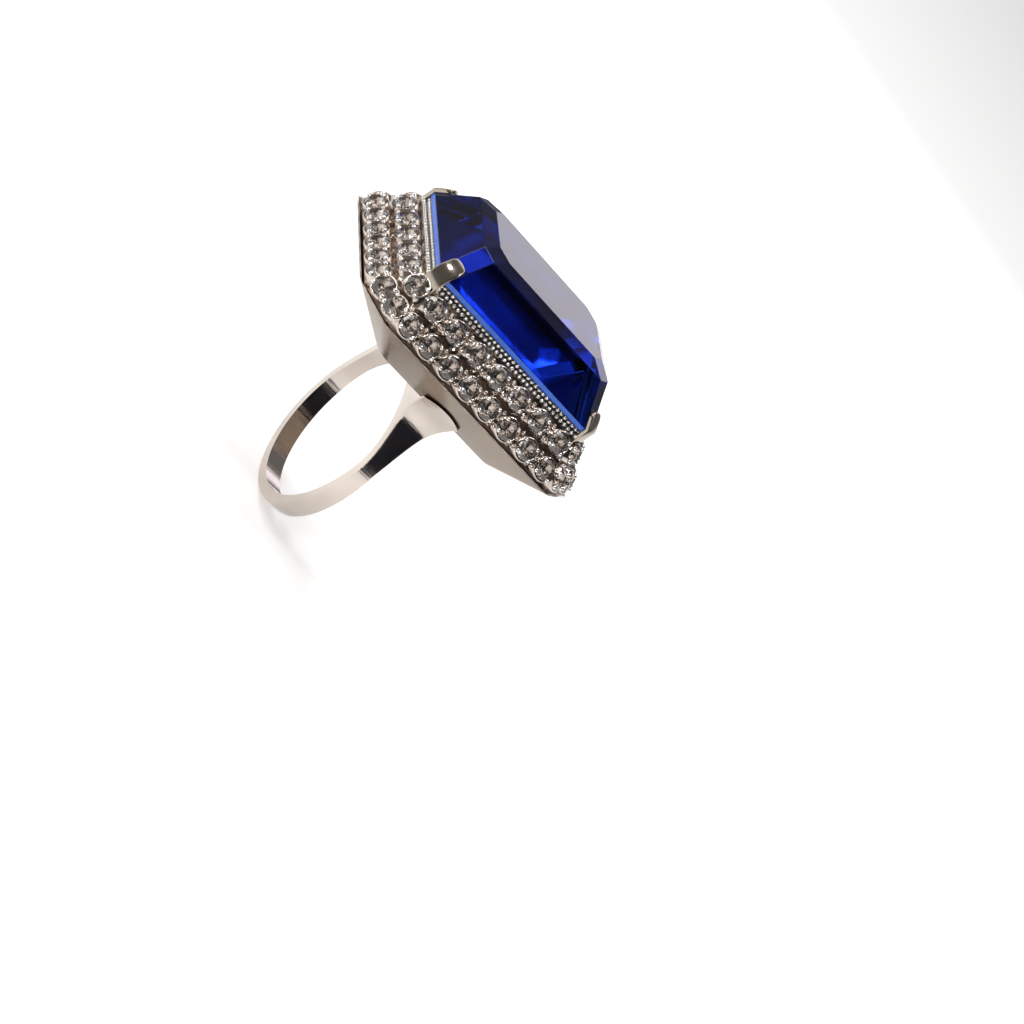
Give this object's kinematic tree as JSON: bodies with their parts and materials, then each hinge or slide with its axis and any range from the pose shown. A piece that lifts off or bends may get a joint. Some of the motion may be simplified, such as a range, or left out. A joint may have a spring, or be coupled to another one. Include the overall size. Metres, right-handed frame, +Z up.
{
  "type": "cocktail ring",
  "caption": "Silver-coloured cocktail ring with a long step-cut blue stone on a stepped octagonal head set with rows of small clear stones.",
  "frame": {"origin": "centre of the finger hole, on its axis and midway across the hoop", "axes": "+Z up through the centre stone, Y along the finger-hole axis and the long side of the stone, X across the finger"},
  "size_m": [0.0206, 0.0274, 0.0309],
  "materials": {
    "silver_metal": "polished silver-coloured plating, lightly brushed on the hoop",
    "blue_stone": "clear deep blue cut glass with flat polished facets",
    "clear_stone": "clear faceted glass with a bright backing"
  },
  "bodies": {
    "root": {"shank": "silver_metal", "base_cup": "silver_metal", "outer_stone_frame": "silver_metal", "inner_stone_frame": "silver_metal", "stone_seat": "silver_metal", "claw_1": "silver_metal", "claw_2": "silver_metal", "claw_3": "silver_metal", "claw_4": "silver_metal", "centre_stone": "blue_stone", "outer_stones_right_side": "clear_stone", "outer_stones_right_hand_corner": "clear_stone", "outer_stones_hand_end": "clear_stone", "outer_stones_left_hand_corner": "clear_stone", "outer_stones_left_side": "clear_stone", "outer_stones_left_finger_corner": "clear_stone", "outer_stones_finger_end": "clear_stone", "outer_stones_right_finger_corner": "clear_stone", "inner_stones_right_side": "clear_stone", "inner_stones_right_hand_corner": "clear_stone", "inner_stones_hand_end": "clear_stone", "inner_stones_left_hand_corner": "clear_stone", "inner_stones_left_side": "clear_stone", "inner_stones_left_finger_corner": "clear_stone", "inner_stones_finger_end": "clear_stone", "inner_stones_right_finger_corner": "clear_stone"}
  },
  "joints": []
}
